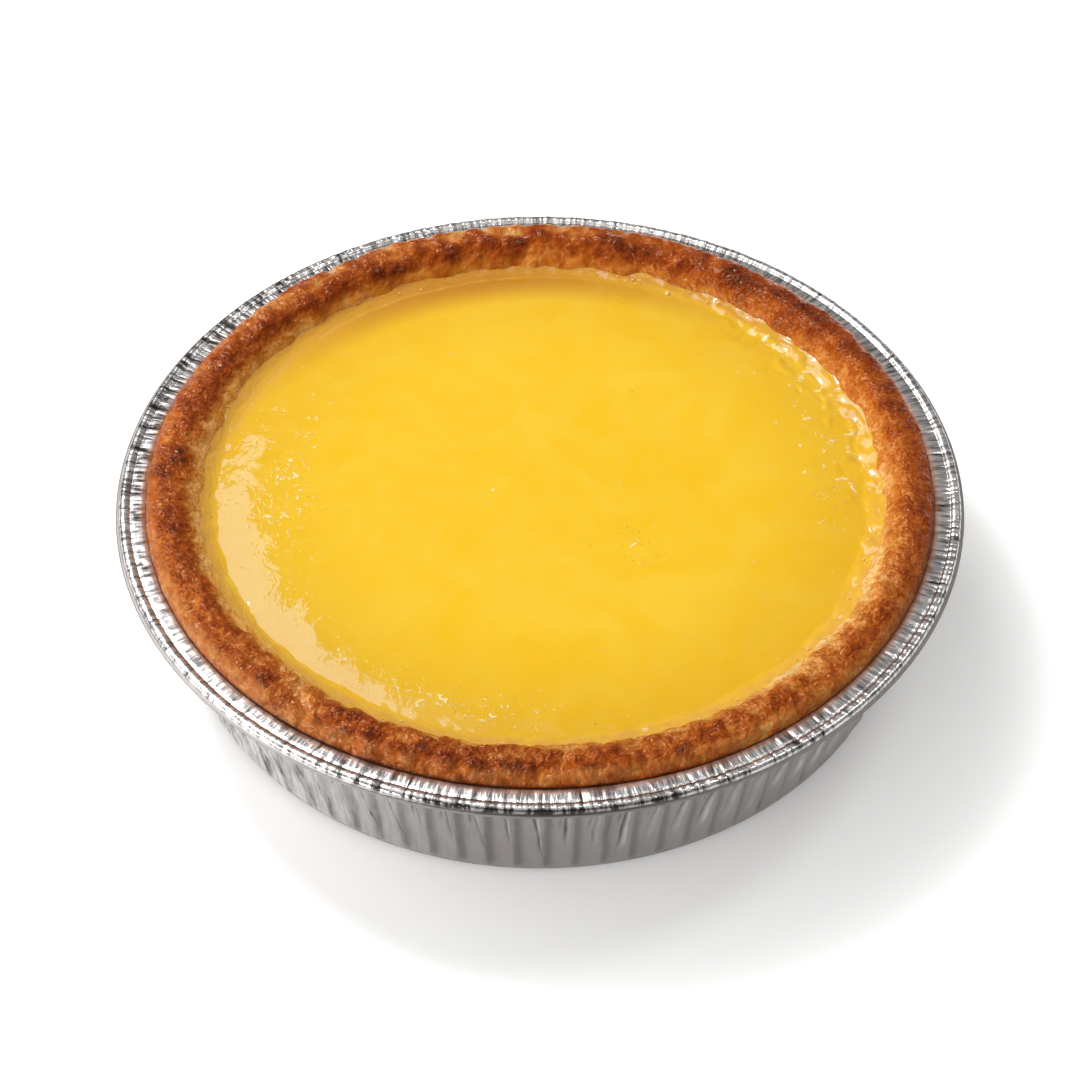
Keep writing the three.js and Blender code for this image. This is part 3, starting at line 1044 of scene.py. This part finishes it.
VIEW_ANGLE = 22.0
VIEW_ELEVATION = 45.84
VIEW_DISTANCE = 6.714  # from the aim, in dish radii
AIM_HEIGHT = 0.188  # in dish radii
SENSOR_WIDTH = 36.0
ROOM_COLOUR = (1.0, 0.985, 0.975, 1)
ROOM_STRENGTH = 0.3
FLOOR_HALF = 3.0


def softbox(name, bearing, elevation, distance, width, height, brightness, lean=0.0):
    """A flat rectangular lamp that faces the tart. Bearing is in degrees left of straight ahead,
    seen from the tart. Brightness is what its face shows, and lean turns it in its own plane."""
    data = bpy.data.lights.new(name, "AREA")
    data.shape = "RECTANGLE"
    data.size = width
    data.size_y = height
    data.energy = brightness * math.pi * width * height
    lamp = bpy.data.objects.new(name, data)
    bpy.context.scene.collection.objects.link(lamp)
    turn, tilt = math.radians(bearing), math.radians(elevation)
    along = distance * math.cos(tilt)
    place = Vector((-along * math.sin(turn), along * math.cos(turn), distance * math.sin(tilt)))
    lamp.location = place
    lamp.rotation_mode = "QUATERNION"
    in_plane = Quaternion((0, 0, 1), math.radians(lean))
    lamp.rotation_quaternion = place.to_track_quat("Z", "Y") @ in_plane
    return lamp


def add_lamps():
    """Seven soft lamps. After its name, each has its bearing, elevation, distance, width and height,
    with lengths in metres."""
    softbox("key_softbox", 32, 55, 2.0, 0.68, 1.08, brightness=4.25, lean=-15.8)
    softbox("bright_softbox", 46, 54, 1.7, 0.26, 0.4, brightness=23.5)
    softbox("high_softbox", 50, 70, 1.25, 0.9, 0.9, brightness=0.6)
    softbox("front_softbox", 180, 62, 1.5, 1.0, 1.0, brightness=0.7)
    softbox("right_softbox", -58, 58, 1.5, 0.3, 0.6, brightness=5.0)
    softbox("left_softbox", 125, 10, 1.2, 1.2, 0.4, brightness=7.5)
    softbox("window_softbox", 88, 38, 1.5, 1.0, 0.6, brightness=2.4)


def add_floor():
    """A plain pale square under the tart, which glows a little by itself."""
    mesh = bpy.data.meshes.new("floor")
    half = FLOOR_HALF
    corners = [(-half, -half, 0), (half, -half, 0), (half, half, 0), (-half, half, 0)]
    mesh.from_pydata(corners, [], [(0, 1, 2, 3)])
    floor = bpy.data.objects.new("floor", mesh)
    finish, _, _ = new_finish(
        "pale_floor",
        **{
            "Base Color": (0.97, 0.97, 0.965, 1),
            "Roughness": 0.8,
            "Specular IOR Level": 0.0,
            "Emission Color": (1, 1, 1, 1),
            "Emission Strength": 0.2,
        },
    )
    mesh.materials.append(finish)
    bpy.context.scene.collection.objects.link(floor)


def add_camera():
    """A camera in front of the tart that looks down at it. Its lens is half the sensor's width
    over the tangent of half the view angle."""
    scene = bpy.context.scene
    camera = bpy.data.objects.new("camera", bpy.data.cameras.new("camera"))
    scene.collection.objects.link(camera)
    camera.data.sensor_width = SENSOR_WIDTH
    camera.data.lens = SENSOR_WIDTH / 2 / math.tan(math.radians(VIEW_ANGLE / 2))
    elevation = math.radians(VIEW_ELEVATION)
    distance = VIEW_DISTANCE * DISH_RADIUS * MM
    aim = AIM_HEIGHT * DISH_RADIUS * MM
    camera.location = (0, -distance * math.cos(elevation), aim + distance * math.sin(elevation))
    camera.rotation_euler = (TURN / 4 - elevation, 0, 0)
    camera.data.clip_start = 0.01
    camera.data.clip_end = 20
    scene.camera = camera


def studio():
    """The pale room, its lamps, the floor and the camera."""
    world = bpy.data.worlds.new("soft_room")
    world.use_nodes = True
    background = world.node_tree.nodes["Background"]
    background.inputs["Color"].default_value = ROOM_COLOUR
    background.inputs["Strength"].default_value = ROOM_STRENGTH
    bpy.context.scene.world = world
    add_lamps()
    add_floor()
    add_camera()
    bpy.context.scene.view_settings.view_transform = "Standard"


foil_dish()
pastry = crust()
curd = lemon_filling()
curd_bubbles(curd.data.materials[0])
pastry_crumbs(pastry.data.materials[0])
studio()
